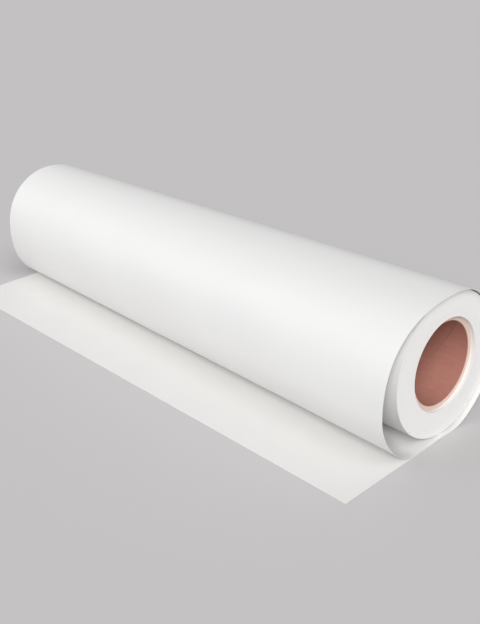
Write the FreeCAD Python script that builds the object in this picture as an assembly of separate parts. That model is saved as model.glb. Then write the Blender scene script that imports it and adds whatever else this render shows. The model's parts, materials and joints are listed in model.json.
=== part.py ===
"""A roll of sign vinyl lying on its free end.

The web is a white vinyl film with its coat of adhesive, and a paper release liner. Most
of it is wound tight on a core of glued paper plies. The outermost turn is loose: the tail lies
flat on the floor with its liner up, passes under the roll, climbs the back, goes over
the top, bellies out in front and turns in again under the wound turns.

Millimetres. +X runs along the core's axis, +Y points away from the tail, +Z is up.
The origin is the middle of the core's bore.
"""

import FreeCAD, Part
import os
from math import cos, degrees, radians, sin

from FreeCAD import Vector

# The web and its two layers: the film with its adhesive, on the outside of the roll,
# and the liner.
WEB_WIDTH = 610.0
FILM_THICKNESS = 0.125
LINER_THICKNESS = 0.15

# The core: a tube of glued paper plies, cut a little shorter than the web is wide.
CORE_BORE_RADIUS = 38.1
CORE_PLIES = 8
CORE_PLY_THICKNESS = 0.6
CORE_RECESS = 4.0
CORE_MOUTH_BEVEL = 0.4

# The strip of tape that starts the winding on the core.
TAPE_THICKNESS = 0.3
TAPE_WIDTH = 50.0

# The build-up of tight turns on the core, and the gap they turn with in the loose turn.
WINDING_BUILD = 23.5
SLIP = 0.3

# How far the loose turn stands past the face of the wound turns at the near end.
WEB_OVERHANG = 4.7

# The tail in front of the axis, and the line behind the axis where the web leaves the
# floor for the roll's back.
TAIL_REACH = 133.4
LIFT_LINE = 10.0

# The loose turn's back and top are an arc whose centre is a little behind the axis.
# The web joins it at BACK_START, coming from the floor, and leaves it at the top.
BACK_OFFSET = 0.5
BACK_START = -45.0
BACK_END = 90.0
LIFT_REACH = 14.0


class Belly:
    """The loose turn's front at one end of the roll.

    slack is how far it stands out past the wound turns at its fullest, which is drop
    below the axis. It lands on the tail at landing in front of the axis. crown, brow,
    jowl and flare are the reaches of its curve at the top, above and below the fullest
    point, and at the landing, as shares of the wound turns' radius.
    """

    def __init__(self, slack, drop, landing, crown, brow, jowl, flare):
        self.slack = slack
        self.drop = drop
        self.landing = landing
        self.crown = crown
        self.brow = brow
        self.jowl = jowl
        self.flare = flare


NEAR_BELLY = Belly(slack=24.0, drop=14.0, landing=41.0, crown=1.0, brow=0.78, jowl=0.38, flare=0.36)
FAR_BELLY = Belly(slack=3.4, drop=5.0, landing=22.0, crown=0.57, brow=0.625, jowl=0.445, flare=0.55)

CORE_RADIUS = CORE_BORE_RADIUS + CORE_PLIES * CORE_PLY_THICKNESS
CORE_LENGTH = WEB_WIDTH - 2 * CORE_RECESS
PACK_RADIUS = CORE_RADIUS + WINDING_BUILD
WEB_THICKNESS = FILM_THICKNESS + LINER_THICKNESS

# Under the wound turns lie the loose turn's inner strand and the tail, each one slip
# gap below what is above it.
STRAND_UNDERSIDE = -(PACK_RADIUS + SLIP + WEB_THICKNESS)
FLOOR = STRAND_UNDERSIDE - SLIP - WEB_THICKNESS
BACK_RADIUS = -FLOOR

WEB_NEAR_END = WEB_WIDTH / 2 + WEB_OVERHANG
WEB_FAR_END = WEB_NEAR_END - WEB_WIDTH

ALONG_AXIS = Vector(1, 0, 0)

# The reach of a Bezier's handle, as a share of the radius, over a quarter and an eighth
# of a circle. A curve that runs inside another one has handles that are shorter by this.
QUARTER_TURN_REACH = 0.5523
EIGHTH_TURN_REACH = 0.2652


def ring(inner_radius, outer_radius, length, angle=360.0):
    """A tube about the axis, or a sector of one, with its length centred on the origin."""
    start = Vector(-length / 2, 0, 0)
    outside = Part.makeCylinder(outer_radius, length, start, ALONG_AXIS, angle)
    return outside.cut(Part.makeCylinder(inner_radius, length, start, ALONG_AXIS, angle))


def core_ply(number):
    """One ply of the core. Ply 1 is the wall of the bore and has bevelled mouths."""
    inner_radius = CORE_BORE_RADIUS + (number - 1) * CORE_PLY_THICKNESS
    ply = ring(inner_radius, inner_radius + CORE_PLY_THICKNESS, CORE_LENGTH)
    if number > 1:
        return ply
    mouths = [edge for edge in ply.Edges if is_round(edge, CORE_BORE_RADIUS)]
    return ply.makeChamfer(CORE_MOUTH_BEVEL, mouths)


def is_round(edge, radius):
    """Whether an edge is a full circle of the given radius."""
    return isinstance(edge.Curve, Part.Circle) and abs(edge.Curve.Radius - radius) < 0.01


def start_tape():
    """The starting tape, a strip as long as the core that follows its round."""
    return ring(CORE_RADIUS, CORE_RADIUS + TAPE_THICKNESS, CORE_LENGTH, degrees(TAPE_WIDTH / CORE_RADIUS))


def wound_turns():
    """The tight turns, pressed together on the core and over the starting tape."""
    return ring(CORE_RADIUS, PACK_RADIUS, WEB_WIDTH).cut(start_tape())


def bezier(x, *corners):
    """A Bezier edge in the plane at x, from its corner points (y, z)."""
    curve = Part.BezierCurve()
    curve.setPoles([Vector(x, y, z) for y, z in corners])
    return curve.toShape()


def line(x, start, end):
    """A straight edge in the plane at x between two points (y, z)."""
    return Part.makeLine(Vector(x, *start), Vector(x, *end))


def back_point(depth, angle):
    """A point (y, z) of the loose turn's back arc, depth inside its outer face."""
    radius = BACK_RADIUS - depth
    return BACK_OFFSET + radius * cos(radians(angle)), radius * sin(radians(angle))


def back_arc(x, depth):
    """The loose turn's back and top in the plane at x, depth inside its outer face."""
    middle = (BACK_START + BACK_END) / 2
    points = [Vector(x, *back_point(depth, angle)) for angle in (BACK_START, middle, BACK_END)]
    return Part.Arc(*points).toShape()


def skin(x, belly, depth):
    """The edges of one face of a layer, from the tail's cut edge to the inner strand's end.

    depth is the face's distance inside the web's outer face.
    """
    shorter = QUARTER_TURN_REACH * depth
    lift = LIFT_REACH - EIGHTH_TURN_REACH * depth
    floor = FLOOR + depth
    strand = STRAND_UNDERSIDE + depth
    start = radians(BACK_START)
    foot = back_point(depth, BACK_START)
    before_foot = (foot[0] + lift * sin(start), foot[1] - lift * cos(start))
    top = back_point(depth, BACK_END)
    past_top = (top[0] - belly.crown * PACK_RADIUS + shorter, top[1])
    fullest = (depth - PACK_RADIUS - belly.slack, -belly.drop)
    above_fullest = (fullest[0], fullest[1] + belly.brow * PACK_RADIUS - shorter)
    below_fullest = (fullest[0], fullest[1] - belly.jowl * PACK_RADIUS + shorter)
    landing = (-belly.landing, strand)
    before_landing = (landing[0] - belly.flare * PACK_RADIUS + shorter, strand)
    return [
        line(x, (-TAIL_REACH, floor), (LIFT_LINE, floor)),
        bezier(x, (LIFT_LINE, floor), (LIFT_LINE + lift, floor), before_foot, foot),
        back_arc(x, depth),
        bezier(x, top, past_top, above_fullest, fullest),
        bezier(x, fullest, below_fullest, before_landing, landing),
        line(x, landing, (0.0, strand)),
    ]


def outline(x, belly, outer_depth, inner_depth):
    """The closed outline of one layer in the plane at x."""
    outer = skin(x, belly, outer_depth)
    inner = skin(x, belly, inner_depth)
    strand_end = Part.makeLine(outer[-1].Vertexes[-1].Point, inner[-1].Vertexes[-1].Point)
    cut_edge = Part.makeLine(inner[0].Vertexes[0].Point, outer[0].Vertexes[0].Point)
    return Part.Wire(outer + [strand_end] + inner[::-1] + [cut_edge])


def layer(outer_depth, thickness):
    """One layer of the unwound web, from the tail's cut edge to the wound turns."""
    inner_depth = outer_depth + thickness
    near = outline(WEB_NEAR_END, NEAR_BELLY, outer_depth, inner_depth)
    far = outline(WEB_FAR_END, FAR_BELLY, outer_depth, inner_depth)
    return Part.makeLoft([far, near], True, True)


def main():
    shapes = {f"core_ply_{number}": core_ply(number) for number in range(1, CORE_PLIES + 1)}
    shapes["start_tape"] = start_tape()
    shapes["wound_turns"] = wound_turns()
    shapes["film"] = layer(0.0, FILM_THICKNESS)
    shapes["liner"] = layer(FILM_THICKNESS, LINER_THICKNESS)
    os.makedirs("parts", exist_ok=True)
    for name, shape in shapes.items():
        shape.exportStep(f"parts/{name}.step")


main()
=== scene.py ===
"""A roll of sign vinyl lying on its free end, laid out as a Blender add-on.

The shapes are surfaces worked out with numpy around the CAD frame: the unwound film and
liner, the wound turns with the edges of their turns, the core's glued plies and the
starting tape. Everything is in metres, +X along the roll, +Y away from the free end.
"""

import json
import math

import bpy
import numpy as np
from bpy.props import FloatProperty, FloatVectorProperty, IntProperty, PointerProperty
from mathutils import Matrix, Vector


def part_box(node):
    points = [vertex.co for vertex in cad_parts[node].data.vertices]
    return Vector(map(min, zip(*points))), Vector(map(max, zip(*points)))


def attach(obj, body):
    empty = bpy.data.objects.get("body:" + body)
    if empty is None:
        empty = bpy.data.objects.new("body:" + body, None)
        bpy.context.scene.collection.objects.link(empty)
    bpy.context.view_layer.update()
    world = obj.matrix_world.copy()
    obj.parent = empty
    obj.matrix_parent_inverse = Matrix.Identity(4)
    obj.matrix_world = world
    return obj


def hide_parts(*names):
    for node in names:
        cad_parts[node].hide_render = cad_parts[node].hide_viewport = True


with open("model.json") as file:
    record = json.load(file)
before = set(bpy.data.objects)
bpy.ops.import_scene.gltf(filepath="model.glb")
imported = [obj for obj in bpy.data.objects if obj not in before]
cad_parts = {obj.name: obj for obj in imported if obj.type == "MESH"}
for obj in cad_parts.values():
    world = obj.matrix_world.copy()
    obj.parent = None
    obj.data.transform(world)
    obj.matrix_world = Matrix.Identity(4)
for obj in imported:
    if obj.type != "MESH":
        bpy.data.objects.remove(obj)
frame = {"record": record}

bl_info = {
    "name": "Sign vinyl roll",
    "version": (1, 0, 0),
    "blender": (4, 5, 0),
    "location": "View3D > Sidebar > Vinyl roll",
    "description": "Builds a roll of sign vinyl with its free end on the floor",
    "category": "Add Mesh",
}

MM = 0.001
TAU = 2 * math.pi
CORE_PLIES = 8

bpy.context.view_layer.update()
FILM_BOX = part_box("film")
LINER_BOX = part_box("liner")
PACK_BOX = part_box("wound_turns")
TAPE_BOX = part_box("start_tape")
PLY_BOXES = [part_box(f"core_ply_{number}") for number in range(1, CORE_PLIES + 1)]
CORE_BORE = next(m for m in frame["record"]["mounts"] if m["name"] == "core_bore")

FLOOR = FILM_BOX[0].z
TAIL_EDGE = FILM_BOX[0].y
WEB_WIDTH = FILM_BOX[1].x - FILM_BOX[0].x
BACK_RADIUS = FILM_BOX[1].z
BACK_OFFSET = FILM_BOX[1].y - FILM_BOX[1].z
FILM_THICKNESS = LINER_BOX[0].z - FILM_BOX[0].z
PACK_RADIUS = PACK_BOX[1].z
BORE_RADIUS = CORE_BORE["dims"]["r_mm"] * MM
CORE_RADIUS = PLY_BOXES[-1][1].z
CORE_HALF = PLY_BOXES[0][1].x


# --- Sizes and colours a user may change ---------------------------------------------

def length(name, description, millimetres):
    """A size property, given here in millimetres and kept in metres."""
    return FloatProperty(name=name, description=description, default=millimetres * MM,
                         unit="LENGTH", precision=5)


def share(name, description, value):
    """A size property given as a share of the wound turns' radius."""
    return FloatProperty(name=name, description=description, default=value, min=0.0, precision=4)


def count(name, description, value, least):
    """A whole number of turns or of mesh steps."""
    return IntProperty(name=name, description=description, default=value, min=least)


def colour(name, description, *rgb):
    """A colour property, given as the linear red, green and blue of a matt surface."""
    return FloatVectorProperty(name=name, description=description, default=rgb,
                               subtype="COLOR", size=3, min=0.0, max=1.0)


class NearBellySizes(bpy.types.PropertyGroup):
    """The loose turn's front at the near end of the roll."""

    slack: length("Slack", "How far it stands out past the wound turns at its fullest", 24.0)
    drop: length("Drop", "How far below the axis it is fullest", 14.0)
    landing: length("Landing", "Where it lands in front of the axis", 41.0)
    crown: share("Crown", "Reach of its curve where it leaves the top", 1.0)
    brow: share("Brow", "Reach of its curve above the fullest point", 0.78)
    jowl: share("Jowl", "Reach of its curve below the fullest point", 0.38)
    flare: share("Flare", "Reach of its curve at the landing", 0.36)


class FarBellySizes(bpy.types.PropertyGroup):
    """The loose turn's front at the far end of the roll."""

    slack: length("Slack", "How far it stands out past the wound turns at its fullest", 3.4)
    drop: length("Drop", "How far below the axis it is fullest", 5.0)
    landing: length("Landing", "Where it lands in front of the axis", 22.0)
    crown: share("Crown", "Reach of its curve where it leaves the top", 0.57)
    brow: share("Brow", "Reach of its curve above the fullest point", 0.625)
    jowl: share("Jowl", "Reach of its curve below the fullest point", 0.445)
    flare: share("Flare", "Reach of its curve at the landing", 0.55)


class WebSizes(bpy.types.PropertyGroup):
    """The unwound web: the free end on the floor and the loose turn."""

    liner: length("Liner", "Thickness of the release liner", 0.15)
    slip: length("Slip", "Gap under the wound turns and under the inner strand", 0.3)
    lift_line: length("Lift line", "Where the web leaves the floor behind the axis", 10.0)
    lift_reach: length("Lift reach", "Reach of the curve that lifts the web off the floor", 14.0)
    wave: length("Wave", "Height of the soft waves in the loose turn", 0.35)
    columns: count("Columns", "Mesh columns along the roll", 120, 8)


class TurnSizes(bpy.types.PropertyGroup):
    """The tight turns of the web."""

    turns: count("Turns", "Tight turns between the core and the outside", 85, 4)
    relief: length("Relief", "Depth of the groove between two turns at the roll's faces", 0.02)
    wander: length("Wander", "How far the turns' edges stand in and out", 0.08)
    segments: count("Segments", "Mesh segments round the roll", 240, 24)


class CoreSizes(bpy.types.PropertyGroup):
    """The paper core and its starting tape."""

    seam: length("Seam", "Gap between the edges of the bore's ply", 0.3)
    ply_width: length("Ply width", "Width of the paper strip that the bore's ply is wound from", 120.0)
    bevel: length("Bevel", "Softening of each ply's cut edges", 0.07)
    mouth: length("Mouth", "Bevel of the bore's mouth", 0.4)
    segments: count("Segments", "Mesh segments round the core", 180, 24)
    bore_rows: count("Bore rows", "Mesh rows along the bore's ply", 260, 8)
    bore_columns: count("Bore columns", "Mesh columns from edge to edge of the bore's ply", 120, 24)


class RollColours(bpy.types.PropertyGroup):
    """The colours of the roll and of what it lies on."""

    film: colour("Film", "The vinyl film's white", 0.825, 0.823, 0.818)
    liner: colour("Liner", "The release liner's paper", 0.80, 0.79, 0.775)
    edge: colour("Web edge", "The cut edges of the web", 0.87, 0.863, 0.85)
    board: colour("Board", "The core's brown paper", 0.46, 0.21, 0.165)
    cut_board: colour("Cut board", "The core's cut edge", 0.74, 0.60, 0.52)
    tape: colour("Tape", "The starting tape", 0.70, 0.58, 0.36)
    floor: colour("Floor", "The floor", 0.60, 0.586, 0.592)


class VinylRoll(bpy.types.PropertyGroup):
    """All the sizes and colours of the roll."""

    near: PointerProperty(type=NearBellySizes)
    far: PointerProperty(type=FarBellySizes)
    web: PointerProperty(type=WebSizes)
    turns: PointerProperty(type=TurnSizes)
    core: PointerProperty(type=CoreSizes)
    colours: PointerProperty(type=RollColours)


# --- Meshes from numpy ----------------------------------------------------------------

# Faces that meet at more than this keep a sharp edge between them.
SHARP = math.radians(35)


def new_object(name, points, quads, uv=None, materials=(), material_index=None):
    """An object at the origin from vertices (n, 3) and quads (m, 4), smooth with sharp corners.

    uv holds one (u, v) per vertex and is copied to the face corners.
    """
    mesh = bpy.data.meshes.new(name)
    mesh.vertices.add(len(points))
    mesh.vertices.foreach_set("co", np.ascontiguousarray(points, np.float32).ravel())
    mesh.loops.add(quads.size)
    mesh.loops.foreach_set("vertex_index", quads.ravel().astype(np.int32))
    mesh.polygons.add(len(quads))
    mesh.polygons.foreach_set("loop_start", np.arange(0, quads.size, 4, dtype=np.int32))
    if material_index is not None:
        mesh.polygons.foreach_set("material_index", material_index.astype(np.int32))
    mesh.update(calc_edges=True)
    mesh.shade_smooth()
    mesh.set_sharp_from_angle(angle=SHARP)
    if uv is not None:
        layer = mesh.uv_layers.new(name="web")
        layer.uv.foreach_set("vector", uv[quads.ravel()].astype(np.float32).ravel())
    for material in materials:
        mesh.materials.append(material)
    made = bpy.data.objects.new(name, mesh)
    bpy.context.scene.collection.objects.link(made)
    return made


def grid_quads(rows, columns, close_rows=False, close_columns=False):
    """The quads of a grid of vertices numbered row by row; closing joins the last to the first."""
    number = np.arange(rows * columns).reshape(rows, columns)
    if close_rows:
        number = np.concatenate([number, number[:1]], axis=0)
    if close_columns:
        number = np.concatenate([number, number[:, :1]], axis=1)
    corners = [number[:-1, :-1], number[1:, :-1], number[1:, 1:], number[:-1, 1:]]
    return np.stack(corners, axis=-1).reshape(-1, 4)


def round_axis(x, radius, angle):
    """Places about the X axis: x along it, radius times the angle's cosine in Y and its sine in Z."""
    return np.stack(np.broadcast_arrays(x, radius * np.cos(angle), radius * np.sin(angle)), axis=-1)


def whole_turn(segments):
    """Even angles once round the axis, as a column."""
    return np.linspace(0.0, TAU, segments, endpoint=False)[:, None]


def ring(name, x, radius, segments, materials, kind):
    """A closed profile of x and radius carried once round the axis.

    x may change from segment to segment. kind gives the material of each side of the profile.
    """
    loops = round_axis(x, radius, whole_turn(segments))
    quads = grid_quads(*loops.shape[:2], close_rows=True, close_columns=True)[:, ::-1]
    return new_object(name, loops.reshape(-1, 3), quads, None, materials, np.tile(kind, segments))


def bezier(corners, places):
    """Points of a cubic Bezier: the corners weighted by (1-t)^3, 3(1-t)^2 t, 3(1-t) t^2 and t^3."""
    t = np.linspace(0.0, 1.0, places)[:, None]
    a, b, c, d = (np.array(corner) for corner in corners)
    return (1 - t) ** 3 * a + 3 * (1 - t) ** 2 * t * b + 3 * (1 - t) * t ** 2 * c + t ** 3 * d


# --- The unwound web ------------------------------------------------------------------

BACK_START = math.radians(-45)
BACK_END = math.radians(90)

# The reach of a Bezier that turns through a quarter or an eighth, as a share of its radius.
QUARTER_TURN_REACH = 0.5523
EIGHTH_TURN_REACH = 0.2652

# How many places each stretch of the section has, from the free end's cut edge on.
FLOOR_PLACES = 30
LIFT_PLACES = 25
BACK_PLACES = 70
BROW_PLACES = 80
JOWL_PLACES = 60
STRAND_PLACES = 20

# The loose turn's waves: share of the height, radians in a metre along the roll, radians
# over the whole length of the web, and the radians they start from.
WEB_WAVES = ((1.0, 17, 32, 0.0), (0.6, 41, -20, 1.3), (0.35, 73, 44, 4.0))


def level(start, end, height, places):
    """Points of a level stretch of the section at one height."""
    return np.stack([np.linspace(start, end, places), np.full(places, height)], axis=-1)


def bent(start, leave, arrive, end, places):
    """Points of a Bezier between two places, after the first, from its reaches out of them."""
    start, leave, arrive, end = (np.array(value, float) for value in (start, leave, arrive, end))
    return bezier([start, start + leave, end - arrive, end], places)[1:]


def web_section(belly, web, depth):
    """One section (y, z) of the web, depth inside its outer face, from the cut edge to the strand's end.

    Flat on the floor, a Bezier up to the back, an arc over the back and top, a Bezier down
    to the fullest point of the belly, a Bezier in to the landing, and flat to the strand's end.
    The reaches of a Bezier inside another are shorter by the depth times the reach of its turn.
    Returns the section and how free each of its points is to wave: the squared sine of
    half a turn from the top to the landing, and nothing elsewhere.
    """
    floor = FLOOR + depth
    strand = depth - PACK_RADIUS - web.slip - FILM_THICKNESS - web.liner
    radius = BACK_RADIUS - depth
    lift = web.lift_reach - EIGHTH_TURN_REACH * depth
    crown, brow, jowl, flare = (PACK_RADIUS * reach - QUARTER_TURN_REACH * depth
                                for reach in (belly.crown, belly.brow, belly.jowl, belly.flare))

    def back(angle):
        return np.stack([BACK_OFFSET + radius * np.cos(angle), radius * np.sin(angle)], axis=-1)

    climb = (-lift * math.sin(BACK_START), lift * math.cos(BACK_START))
    fullest = (depth - PACK_RADIUS - belly.slack, -belly.drop)
    landing = (-belly.landing, strand)
    held = [
        level(TAIL_EDGE, web.lift_line, floor, FLOOR_PLACES),
        bent((web.lift_line, floor), (lift, 0.0), climb, back(BACK_START), LIFT_PLACES),
        back(np.linspace(BACK_START, BACK_END, BACK_PLACES))[1:],
    ]
    loose = [
        bent(back(BACK_END), (-crown, 0.0), (0.0, -brow), fullest, BROW_PLACES),
        bent(fullest, (0.0, -jowl), (flare, 0.0), landing, JOWL_PLACES),
    ]
    inner_strand = level(-belly.landing, 0.0, strand, STRAND_PLACES)[1:]
    loose_places = sum(map(len, loose))
    free = np.sin(np.pi * np.arange(loose_places) / loose_places) ** 2
    free = np.pad(free, (sum(map(len, held)), len(inner_strand)))
    return np.concatenate([*held, *loose, inner_strand]), free


def web_surface(roll, depth):
    """The web's surface depth inside its outer face, as an array (columns, points, 3).

    A straight blend along X between the far and the near section, pushed along the
    section's normal by soft waves: sines of the place along the roll and along the web,
    faded out where the web is held flat or lies against the wound turns.
    """
    web = roll.web
    far, free = web_section(roll.far, web, depth)
    near, free = web_section(roll.near, web, depth)
    nearness = np.linspace(0.0, 1.0, web.columns)[:, None]
    x = FILM_BOX[0].x + WEB_WIDTH * nearness
    section = far + (near - far) * nearness[..., None]
    tangent = np.gradient(section, axis=1)
    tangent /= np.linalg.norm(tangent, axis=2, keepdims=True)
    outward = np.stack([tangent[..., 1], -tangent[..., 0]], axis=-1)
    place = np.linspace(0.0, 1.0, section.shape[1])
    waves = sum(height * np.sin(across * x + along * place + start)
                for height, across, along, start in WEB_WAVES)
    section = section + outward * (web.wave * free * waves)[..., None]
    return np.concatenate([np.broadcast_to(x[..., None], section.shape[:2] + (1,)), section], axis=-1)


def distance_along(surface):
    """How far each point of a web surface is from the cut edge, measured along its section."""
    step = np.linalg.norm(np.diff(surface, axis=1), axis=2)
    return np.pad(np.cumsum(step, axis=1), ((0, 0), (1, 0)))


def web_layer(name, roll, outer_depth, thickness, materials):
    """One layer of the unwound web as a closed sheet between two surfaces of the web."""
    outer = web_surface(roll, outer_depth)
    inner = web_surface(roll, outer_depth + thickness)
    columns, points = outer.shape[:2]
    to_inner = columns * points
    inside = grid_quads(columns, points) + to_inner
    outside = grid_quads(columns, points)[:, ::-1]
    number = np.arange(to_inner).reshape(columns, points)
    rim = np.concatenate([number[0, :], number[1:, -1], number[-1, -2::-1], number[-2:0:-1, 0]])
    after = np.roll(rim, -1)
    border = np.stack([rim, rim + to_inner, after + to_inner, after], axis=-1)
    uv = np.stack([distance_along(outer).ravel(), outer[..., 0].ravel()], axis=-1)
    kind = np.repeat([0, 1], [len(outside) + len(inside), len(border)])
    return new_object(name, np.concatenate([outer.reshape(-1, 3), inner.reshape(-1, 3)]),
                      np.concatenate([outside, inside, border]), np.concatenate([uv, uv]),
                      materials, kind)


# --- The wound turns ------------------------------------------------------------------

# The sway of the turns' edges: share of the wander, radians in a turn, and the radians
# they start from. The edges lie about half the wander in.
EDGE_SWAY = ((0.22, 0.21, 0.4), (0.132, 0.53, 2.0), (0.088, 1.27, 1.0), (0.066, 2.9, 0.0))
EDGE_MIDDLE = 0.5

# How that changes round the roll: share, waves in a turn, and radians in a metre of radius.
EDGE_LEAN = ((0.25, 1, 400), (0.15, 2, -700))

# How many places the wound turns' outside has between its two faces.
OUTSIDE_PLACES = 5


def turn_profile(sizes):
    """One face of the wound turns: the radius of each place and how far in from the face it is.

    Each turn ends in a crest with a groove on either side. The crests stand in and out by
    a sum of slow sines of the turn's number, so that the face looks wound and not turned.
    """
    pitch = (PACK_RADIUS - CORE_RADIUS) / sizes.turns
    half_turns = np.arange(2 * sizes.turns)
    radius = CORE_RADIUS + 0.5 * pitch * half_turns
    sway = sum(height * np.sin(0.5 * rate * half_turns + start) for height, rate, start in EDGE_SWAY)
    is_groove = half_turns % 2 == 0
    inward = sizes.wander * (EDGE_MIDDLE + sway) + sizes.relief * is_groove
    return np.append(radius, PACK_RADIUS), np.append(inward, sizes.relief)


def wound_turns(roll, materials):
    """The ring of tight turns: its profile carried once round the axis.

    Each place's distance in from its face is multiplied by one plus a sum of sines of the
    angle round the roll and the radius.
    """
    sizes = roll.turns
    radius, inward = turn_profile(sizes)
    far_x, near_x = PACK_BOX[0].x, PACK_BOX[1].x
    lean = 1 + sum(height * np.sin(waves * whole_turn(sizes.segments) + rate * radius)
                   for height, waves, rate in EDGE_LEAN)
    near = near_x - inward * lean
    far = far_x + (inward * lean)[:, ::-1]
    side = np.linspace(near_x, far_x, OUTSIDE_PLACES + 2)[1:-1]
    sides = np.broadcast_to(side, (sizes.segments, OUTSIDE_PLACES))
    x = np.concatenate([near, sides, far, sides[:, ::-1]], axis=1)
    profile_radius = np.concatenate([radius, np.full(OUTSIDE_PLACES, PACK_RADIUS), radius[::-1],
                                     np.full(OUTSIDE_PLACES, CORE_RADIUS)])
    kind = np.zeros(len(profile_radius))
    kind[len(radius) - 1:len(radius) + OUTSIDE_PLACES] = 1
    return ring("wound_turns_web", x, profile_radius, sizes.segments, materials, kind)


# --- The core and its tape --------------------------------------------------------------

def ply_ring(name, inner_radius, outer_radius, sizes, materials):
    """A plain ply: a rectangle with softened corners carried round the axis."""
    b = sizes.bevel
    x = np.array([CORE_HALF - b, CORE_HALF, CORE_HALF, CORE_HALF - b,
                  b - CORE_HALF, -CORE_HALF, -CORE_HALF, b - CORE_HALF])
    radius = np.array([inner_radius, inner_radius + b, outer_radius - b, outer_radius,
                       outer_radius, outer_radius - b, inner_radius + b, inner_radius])
    is_cut = [1, 1, 1, 0, 1, 1, 1, 0]
    return ring(name, x, radius, sizes.segments, materials, is_cut)


def bore_ply(sizes, materials):
    """The bore's ply: a paper strip wound as a helix, with an open seam between its edges.

    At each place along the core the strip covers the whole round but for the seam. The
    seam goes round once in each lead of the helix: the strip's width over the square root
    of one less the square of its width over the bore's girth.
    """
    lead = sizes.ply_width / math.sqrt(1 - (sizes.ply_width / (TAU * BORE_RADIUS)) ** 2)
    x = np.linspace(sizes.mouth - CORE_HALF, CORE_HALF - sizes.mouth, sizes.bore_rows)
    x = np.concatenate([[-CORE_HALF], x, [CORE_HALF]])[:, None]
    mouth = np.where(abs(x) == CORE_HALF, sizes.mouth, 0.0)
    half_seam = sizes.seam / BORE_RADIUS / 2
    sweep = np.linspace(half_seam, TAU - half_seam, sizes.bore_columns)
    angle = np.concatenate([sweep, sweep[::-1]]) + x * TAU / lead
    is_inner = np.repeat([True, False], len(sweep))
    radius = np.where(is_inner, BORE_RADIUS + mouth, PLY_BOXES[0][1].z)
    rows, columns = angle.shape
    wall = grid_quads(rows, columns, close_columns=True)
    inner = np.arange(len(sweep) - 1)
    outer = columns - 1 - inner
    far_cap = np.stack([inner, inner + 1, outer - 1, outer], axis=-1)
    near_cap = far_cap[:, ::-1] + (rows - 1) * columns
    kind = np.repeat([0, 1], [len(wall), len(far_cap) + len(near_cap)])
    return new_object("core_bore_ply", round_axis(x, radius, angle).reshape(-1, 3),
                      np.concatenate([wall, far_cap, near_cap]), None, materials, kind)


def tape_strip(sizes, materials):
    """The starting tape: a rectangle carried round the core, from the top to the tape's low edge."""
    low_edge = math.pi - math.asin(TAPE_BOX[0].z / CORE_RADIUS)
    angle = np.linspace(math.pi / 2, low_edge, sizes.segments // 4)[:, None]
    x = np.array([CORE_HALF, CORE_HALF, -CORE_HALF, -CORE_HALF])
    radius = np.array([CORE_RADIUS, TAPE_BOX[1].z, TAPE_BOX[1].z, CORE_RADIUS])
    corners = np.arange(len(x))
    side = grid_quads(len(angle), len(corners), close_columns=True)[:, ::-1]
    last = len(corners) * (len(angle) - 1)
    caps = np.stack([corners[::-1], last + corners])
    return new_object("start_tape_strip", round_axis(x, radius, angle).reshape(-1, 3),
                      np.concatenate([side, caps]), None, materials)


# --- Shader node groups ----------------------------------------------------------------

def new_group(name, inputs, outputs):
    """An empty shader node group; returns it with the sockets it is given and those of its result."""
    group = bpy.data.node_groups.new(name, "ShaderNodeTree")
    for label, kind, default in inputs:
        socket = group.interface.new_socket(label, in_out="INPUT", socket_type="NodeSocket" + kind)
        if default is not None:
            socket.default_value = default
    for label, kind in outputs:
        group.interface.new_socket(label, in_out="OUTPUT", socket_type="NodeSocket" + kind)
    return group, group.nodes.new("NodeGroupInput").outputs, group.nodes.new("NodeGroupOutput").inputs


def fill_inputs(tree, placed, values):
    """Links or sets a node's inputs, each named or numbered, and returns the node."""
    for key, value in values.items():
        if isinstance(value, bpy.types.NodeSocket):
            tree.links.new(value, placed.inputs[key])
        else:
            placed.inputs[key].default_value = value
    return placed


def node(tree, kind, values, **settings):
    """A node of a kind, with its settings and its inputs."""
    placed = tree.nodes.new("ShaderNode" + kind)
    for key, value in settings.items():
        setattr(placed, key, value)
    return fill_inputs(tree, placed, values)


def maths(tree, operation, first, second):
    """The result of a Math node."""
    return node(tree, "Math", {0: first, 1: second}, operation=operation).outputs[0]


def varied(tree, base, change, amount):
    """A colour made lighter and darker: the base times one plus the change times the amount."""
    lift = maths(tree, "ADD", maths(tree, "MULTIPLY", change, amount), 1.0)
    return node(tree, "VectorMath", {0: base, "Scale": lift}, operation="SCALE").outputs[0]


def mottle_group():
    """Soft cloudy variation of a colour, with a fine grain in its height."""
    group, given, result = new_group(
        "Mottle",
        [("Vector", "Vector", None), ("Color", "Color", (0.8, 0.8, 0.8, 1.0)),
         ("Cloud Scale", "Float", 20.0), ("Cloud Amount", "Float", 0.02),
         ("Grain Scale", "Float", 2500.0), ("Roughness", "Float", 0.5),
         ("Roughness Change", "Float", 0.05)],
        [("Color", "Color"), ("Roughness", "Float"), ("Height", "Float")])
    cloud = node(group, "TexNoise", {"Vector": given["Vector"], "Scale": given["Cloud Scale"],
                                     "Detail": 3.0})
    grain = node(group, "TexNoise", {"Vector": given["Vector"], "Scale": given["Grain Scale"],
                                     "Detail": 2.0})
    change = maths(group, "SUBTRACT", cloud.outputs["Fac"], 0.5)
    spread = maths(group, "MULTIPLY", change, given["Roughness Change"])
    rough = maths(group, "ADD", spread, given["Roughness"])
    group.links.new(varied(group, given["Color"], change, given["Cloud Amount"]), result["Color"])
    group.links.new(rough, result["Roughness"])
    group.links.new(grain.outputs["Fac"], result["Height"])
    return group


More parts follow.
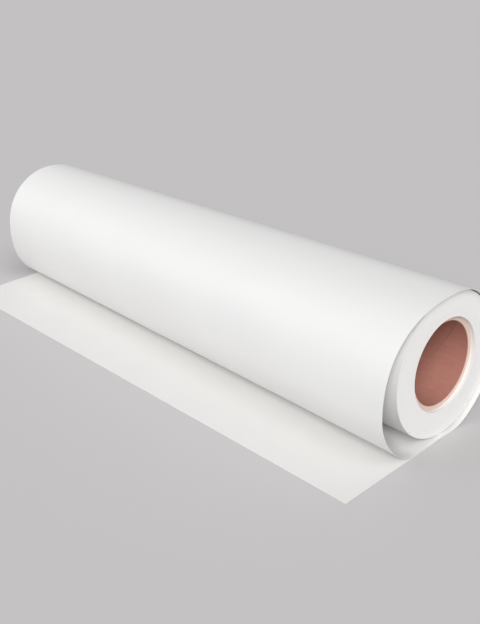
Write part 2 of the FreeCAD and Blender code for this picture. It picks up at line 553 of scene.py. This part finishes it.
def rings_group():
    """Rings about the X axis: a tone and a height that change with the distance from it."""
    group, given, result = new_group(
        "Rings",
        [("Vector", "Vector", None), ("Color", "Color", (0.8, 0.8, 0.8, 1.0)),
         ("Scale", "Float", 900.0), ("Amount", "Float", 0.05)],
        [("Color", "Color"), ("Height", "Float")])
    across = node(group, "VectorMath", {0: given["Vector"], 1: (0.0, 1.0, 1.0)}, operation="MULTIPLY")
    radius = node(group, "VectorMath", {0: across.outputs[0]}, operation="LENGTH")
    rings = node(group, "TexNoise", {"W": radius.outputs["Value"], "Scale": given["Scale"],
                                     "Detail": 4.0}, noise_dimensions="1D")
    change = maths(group, "SUBTRACT", rings.outputs["Fac"], 0.5)
    group.links.new(varied(group, given["Color"], change, given["Amount"]), result["Color"])
    group.links.new(rings.outputs["Fac"], result["Height"])
    return group


def fibres_group():
    """Paper fibres: short streaks along one axis that tint a colour and lift its surface."""
    group, given, result = new_group(
        "Fibres",
        [("Vector", "Vector", None), ("Color", "Color", (0.5, 0.3, 0.2, 1.0)),
         ("Scale", "Float", 300.0), ("Stretch", "Vector", (0.15, 1.0, 1.0)),
         ("Amount", "Float", 0.25)],
        [("Color", "Color"), ("Height", "Float")])
    stretched = node(group, "VectorMath", {0: given["Vector"], 1: given["Stretch"]},
                     operation="MULTIPLY")
    streak = node(group, "TexNoise", {"Vector": stretched.outputs[0], "Scale": given["Scale"],
                                      "Detail": 5.0, "Roughness": 0.65})
    change = maths(group, "SUBTRACT", streak.outputs["Fac"], 0.5)
    group.links.new(varied(group, given["Color"], change, given["Amount"]), result["Color"])
    group.links.new(streak.outputs["Fac"], result["Height"])
    return group


# --- Materials -------------------------------------------------------------------------

def new_material(name, specular):
    """A material with only its Principled shader and output; returns it with its tree and shader."""
    material = bpy.data.materials.new(name)
    material.use_nodes = True
    shader = material.node_tree.nodes["Principled BSDF"]
    shader.inputs["Specular IOR Level"].default_value = specular
    return material, material.node_tree, shader


def place_group(tree, group, values):
    """A node group placed in a material, with its own values."""
    placed = tree.nodes.new("ShaderNodeGroup")
    placed.node_tree = group
    return fill_inputs(tree, placed, values)


def bump(tree, shader, height, distance):
    """A Bump node from a height to a shader's normal."""
    made = node(tree, "Bump", {"Height": height, "Distance": distance, "Strength": 1.0})
    tree.links.new(made.outputs["Normal"], shader.inputs["Normal"])


def mottled(name, rgb, groups, coordinates, *, specular, roughness, cloud, height):
    """A smooth sheet material: soft clouds in its tone and gloss, and a fine grain."""
    material, tree, shader = new_material(name, specular)
    mottle = place_group(tree, groups["mottle"], {
        "Vector": node(tree, "TexCoord", {}).outputs[coordinates], "Color": (*rgb, 1.0),
        "Roughness": roughness, "Cloud Amount": cloud})
    tree.links.new(mottle.outputs["Color"], shader.inputs["Base Color"])
    tree.links.new(mottle.outputs["Roughness"], shader.inputs["Roughness"])
    bump(tree, shader, mottle.outputs["Height"], height)
    return material


def web_edge_material(rgb, groups):
    """The cut edges of the wound web: fine rings of film and liner."""
    material, tree, shader = new_material("web_edge", specular=0.15)
    rings = place_group(tree, groups["rings"], {
        "Vector": node(tree, "TexCoord", {}).outputs["Object"], "Color": (*rgb, 1.0),
        "Scale": 700.0, "Amount": 0.10})
    tree.links.new(rings.outputs["Color"], shader.inputs["Base Color"])
    shader.inputs["Roughness"].default_value = 0.8
    bump(tree, shader, rings.outputs["Height"], 0.00002)
    return material


def board_material(name, rgb, groups, *, scale, amount, stretch):
    """Brown core board with its fibres."""
    material, tree, shader = new_material(name, specular=0.2)
    fibres = place_group(tree, groups["fibres"], {
        "Vector": node(tree, "TexCoord", {}).outputs["Object"], "Color": (*rgb, 1.0),
        "Scale": scale, "Amount": amount, "Stretch": stretch})
    tree.links.new(fibres.outputs["Color"], shader.inputs["Base Color"])
    shader.inputs["Roughness"].default_value = 0.85
    bump(tree, shader, fibres.outputs["Height"], 0.00012)
    return material


def floor_material(rgb):
    """The plain floor: one matt tone."""
    material, tree, shader = new_material("floor", specular=0.0)
    fill_inputs(tree, shader, {"Base Color": (*rgb, 1.0), "Roughness": 1.0})
    return material


def make_materials(colours):
    """Every material of the roll, by name."""
    groups = {"mottle": mottle_group(), "rings": rings_group(), "fibres": fibres_group()}
    return {
        "film": mottled("satin_film", colours.film, groups, "UV",
                        specular=0.45, roughness=0.42, cloud=0.012, height=0.000012),
        "liner": mottled("release_liner", colours.liner, groups, "UV",
                         specular=0.3, roughness=0.6, cloud=0.03, height=0.00002),
        "edge": web_edge_material(colours.edge, groups),
        "film_edge": mottled("film_edge", colours.edge, groups, "Object",
                             specular=0.4, roughness=0.5, cloud=0.01, height=0.00001),
        "board": board_material("core_board", colours.board, groups,
                                scale=260.0, amount=0.35, stretch=(0.35, 1.0, 1.0)),
        "cut_board": board_material("cut_board", colours.cut_board, groups,
                                    scale=900.0, amount=0.25, stretch=(1.0, 1.0, 1.0)),
        "tape": mottled("starting_tape", colours.tape, groups, "Object",
                        specular=0.3, roughness=0.7, cloud=0.15, height=0.00004),
    }


MATERIALS = {}


def roll_materials(context, *names):
    """Some of the roll's materials, which are all made when the first piece asks for one."""
    if not MATERIALS:
        MATERIALS.update(make_materials(context.scene.vinyl_roll.colours))
    return [MATERIALS[name] for name in names]


# --- Operators ---------------------------------------------------------------------------

class VINYL_OT_web(bpy.types.Operator):
    """Builds the unwound film and liner: the free end on the floor and the loose turn."""

    bl_idname = "vinyl.web"
    bl_label = "Unwound web"

    def execute(self, context):
        roll = context.scene.vinyl_roll
        film = web_layer("film_sheet", roll, 0.0, FILM_THICKNESS,
                         roll_materials(context, "film", "film_edge"))
        liner = web_layer("liner_sheet", roll, FILM_THICKNESS, roll.web.liner,
                          roll_materials(context, "liner", "film_edge"))
        glued_face = web_surface(roll, FILM_THICKNESS)
        for sheet, name, slot in ((film, "film", "vinyl_film"), (liner, "liner", "liner_paper")):
            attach(sheet, "web")
            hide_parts(name)
        return {"FINISHED"}


class VINYL_OT_turns(bpy.types.Operator):
    """Builds the wound turns with the edges of the web at both faces."""

    bl_idname = "vinyl.turns"
    bl_label = "Wound turns"

    def execute(self, context):
        turns = wound_turns(context.scene.vinyl_roll, roll_materials(context, "edge", "film"))
        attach(turns, "roll")
        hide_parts("wound_turns")
        return {"FINISHED"}


class VINYL_OT_core(bpy.types.Operator):
    """Builds the core's glued plies; the bore's ply shows its spiral seam."""

    bl_idname = "vinyl.core"
    bl_label = "Core"

    def execute(self, context):
        sizes = context.scene.vinyl_roll.core
        board = roll_materials(context, "board", "cut_board")
        plies = [bore_ply(sizes, board)]
        for number, (inner, outer) in enumerate(zip(PLY_BOXES, PLY_BOXES[1:]), start=2):
            plies.append(ply_ring(f"core_board_ply_{number}", inner[1].z, outer[1].z, sizes, board))
        for number, ply in enumerate(plies, start=1):
            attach(ply, "roll")
            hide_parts(f"core_ply_{number}")
        return {"FINISHED"}


class VINYL_OT_tape(bpy.types.Operator):
    """Builds the starting tape between the core and the first turn."""

    bl_idname = "vinyl.tape"
    bl_label = "Starting tape"

    def execute(self, context):
        tape = tape_strip(context.scene.vinyl_roll.core, roll_materials(context, "tape"))
        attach(tape, "roll")
        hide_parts("start_tape")
        return {"FINISHED"}


# --- The stage ---------------------------------------------------------------------------

FLOOR_SIZE = 60.0
FLOOR_DROP = 0.0003

SEEN_WORLD = (0.552, 0.539, 0.545, 1.0)
FILL_LIGHT = (0.30, 0.30, 0.30, 1.0)

CAMERA_PLACE = (0.67119, -0.55676, 0.36031)
CAMERA_YAW = math.radians(48.197)
CAMERA_PITCH = math.radians(25.072)
CAMERA_ROLL = math.radians(-2.887)
CAMERA_LENS = 50.4
CAMERA_SENSOR = 36.0


def stage_floor(rgb):
    """The floor: one large square just under the web."""
    half = FLOOR_SIZE / 2
    z = FLOOR - FLOOR_DROP
    corners = np.array([(-half, -half, z), (half, -half, z), (half, half, z), (-half, half, z)])
    floor = new_object("floor", corners, np.array([[0, 1, 2, 3]]), None, [floor_material(rgb)])


def sun(scene, name, *, azimuth, elevation, strength, angle):
    """A sun lamp that shines from an azimuth (0 is from -Y, 90 from +X) and an elevation, in degrees."""
    lamp = bpy.data.lights.new(name, "SUN")
    lamp.energy = strength
    lamp.angle = math.radians(angle)
    made = bpy.data.objects.new(name, lamp)
    a, e = math.radians(azimuth), math.radians(elevation)
    towards = Vector((math.sin(a) * math.cos(e), -math.cos(a) * math.cos(e), math.sin(e)))
    made.rotation_mode = "QUATERNION"
    made.rotation_quaternion = towards.to_track_quat("Z", "Y")
    scene.collection.objects.link(made)


def stage_world(scene):
    """The world: one light grey where the camera, glass and gloss see it, and a darker fill elsewhere."""
    world = bpy.data.worlds.new("studio")
    scene.world = world
    world.use_nodes = True
    tree = world.node_tree
    ray = node(tree, "LightPath", {}).outputs
    direct = maths(tree, "MAXIMUM", ray["Is Camera Ray"], ray["Is Glossy Ray"])
    seen = maths(tree, "MAXIMUM", direct, ray["Is Transmission Ray"])
    # On a Mix node of colours, inputs 6 and 7 are the two colours and output 2 is the result.
    tint = node(tree, "Mix", {0: seen, 6: FILL_LIGHT, 7: SEEN_WORLD}, data_type="RGBA")
    tree.links.new(tint.outputs[2], tree.nodes["Background"].inputs["Color"])


def stage_camera(scene):
    """The camera, in front of the free end and to the near end's side."""
    lens = bpy.data.cameras.new("camera")
    lens.lens = CAMERA_LENS
    lens.sensor_width = CAMERA_SENSOR
    camera = bpy.data.objects.new("camera", lens)
    scene.collection.objects.link(camera)
    look = Vector((-math.sin(CAMERA_YAW) * math.cos(CAMERA_PITCH),
                   math.cos(CAMERA_YAW) * math.cos(CAMERA_PITCH), -math.sin(CAMERA_PITCH)))
    roll = Matrix.Rotation(CAMERA_ROLL, 3, "Z").to_quaternion()
    camera.rotation_mode = "QUATERNION"
    camera.rotation_quaternion = look.to_track_quat("-Z", "Y") @ roll
    camera.location = CAMERA_PLACE
    scene.camera = camera
    scene.view_settings.view_transform = "Standard"


class VINYL_OT_stage(bpy.types.Operator):
    """Builds the plain floor, the soft light and the camera."""

    bl_idname = "vinyl.stage"
    bl_label = "Stage"

    def execute(self, context):
        scene = context.scene
        stage_floor(scene.vinyl_roll.colours.floor)
        sun(scene, "key", azimuth=42, elevation=34, strength=2.15, angle=30)
        sun(scene, "side", azimuth=78, elevation=55, strength=0.65, angle=30)
        sun(scene, "sheen", azimuth=-50, elevation=29, strength=0.36, angle=40)
        stage_world(scene)
        stage_camera(scene)
        return {"FINISHED"}


# --- Add-on ------------------------------------------------------------------------------

class VINYL_PT_roll(bpy.types.Panel):
    """The sidebar panel that lists the roll's pieces."""

    bl_idname = "VINYL_PT_roll"
    bl_label = "Vinyl roll"
    bl_space_type = "VIEW_3D"
    bl_region_type = "UI"
    bl_category = "Vinyl roll"

    def draw(self, context):
        for operator in OPERATORS:
            self.layout.operator(operator.bl_idname)


OPERATORS = (VINYL_OT_web, VINYL_OT_turns, VINYL_OT_core, VINYL_OT_tape, VINYL_OT_stage)
GROUPS = (NearBellySizes, FarBellySizes, WebSizes, TurnSizes, CoreSizes, RollColours, VinylRoll)
CLASSES = GROUPS + OPERATORS + (VINYL_PT_roll,)


def register():
    """Registers the classes and hangs the roll's sizes on the scene."""
    for cls in CLASSES:
        bpy.utils.register_class(cls)
    bpy.types.Scene.vinyl_roll = PointerProperty(type=VinylRoll)


def unregister():
    """Takes the roll's sizes and classes away again."""
    del bpy.types.Scene.vinyl_roll
    for cls in reversed(CLASSES):
        bpy.utils.unregister_class(cls)


def main():
    register()
    bpy.ops.vinyl.web()
    bpy.ops.vinyl.turns()
    bpy.ops.vinyl.core()
    bpy.ops.vinyl.tape()
    bpy.ops.vinyl.stage()


if __name__ == "__main__":
    main()
